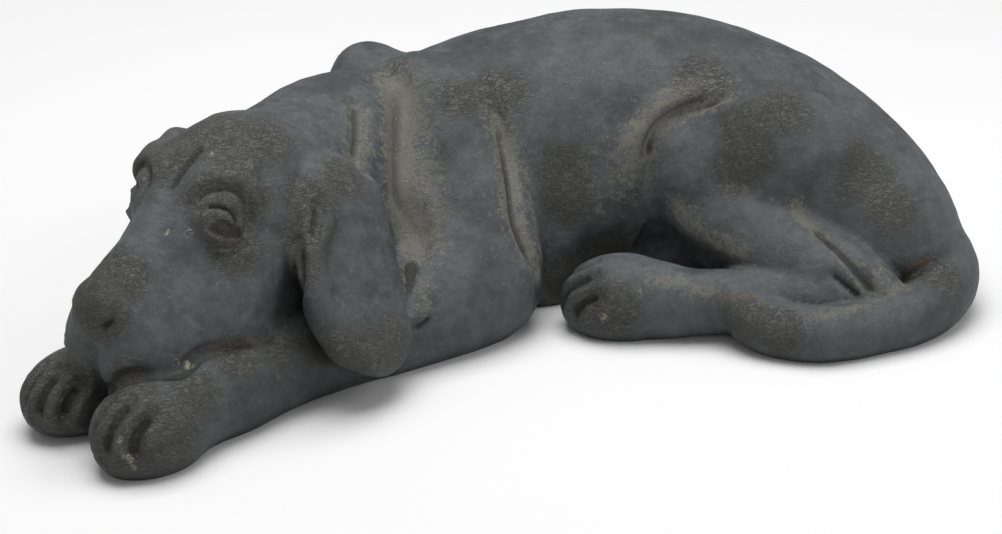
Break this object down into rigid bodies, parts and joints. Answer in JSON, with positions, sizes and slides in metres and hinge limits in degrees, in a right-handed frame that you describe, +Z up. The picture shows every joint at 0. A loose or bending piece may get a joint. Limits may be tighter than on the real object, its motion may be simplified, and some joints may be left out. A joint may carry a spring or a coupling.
{
  "type": "lying dog garden statue",
  "caption": "Cast stone statue of a young hound lying curled on its side, chin resting on its stretched-out forelegs and tail wrapped round, with a flat underside.",
  "frame": {"origin": "centre of the footprint, on the flat underside", "axes": "+X from the paws toward the tail, +Y away from the side the head and legs lie out to, +Z up"},
  "size_m": [0.65, 0.335, 0.175],
  "materials": {
    "cast_stone": "matte to satin weathered cast stone, dark slate grey with brown patina and pale dust in the creases"
  },
  "bodies": {
    "root": {"lying_dog": "cast_stone"}
  },
  "joints": []
}
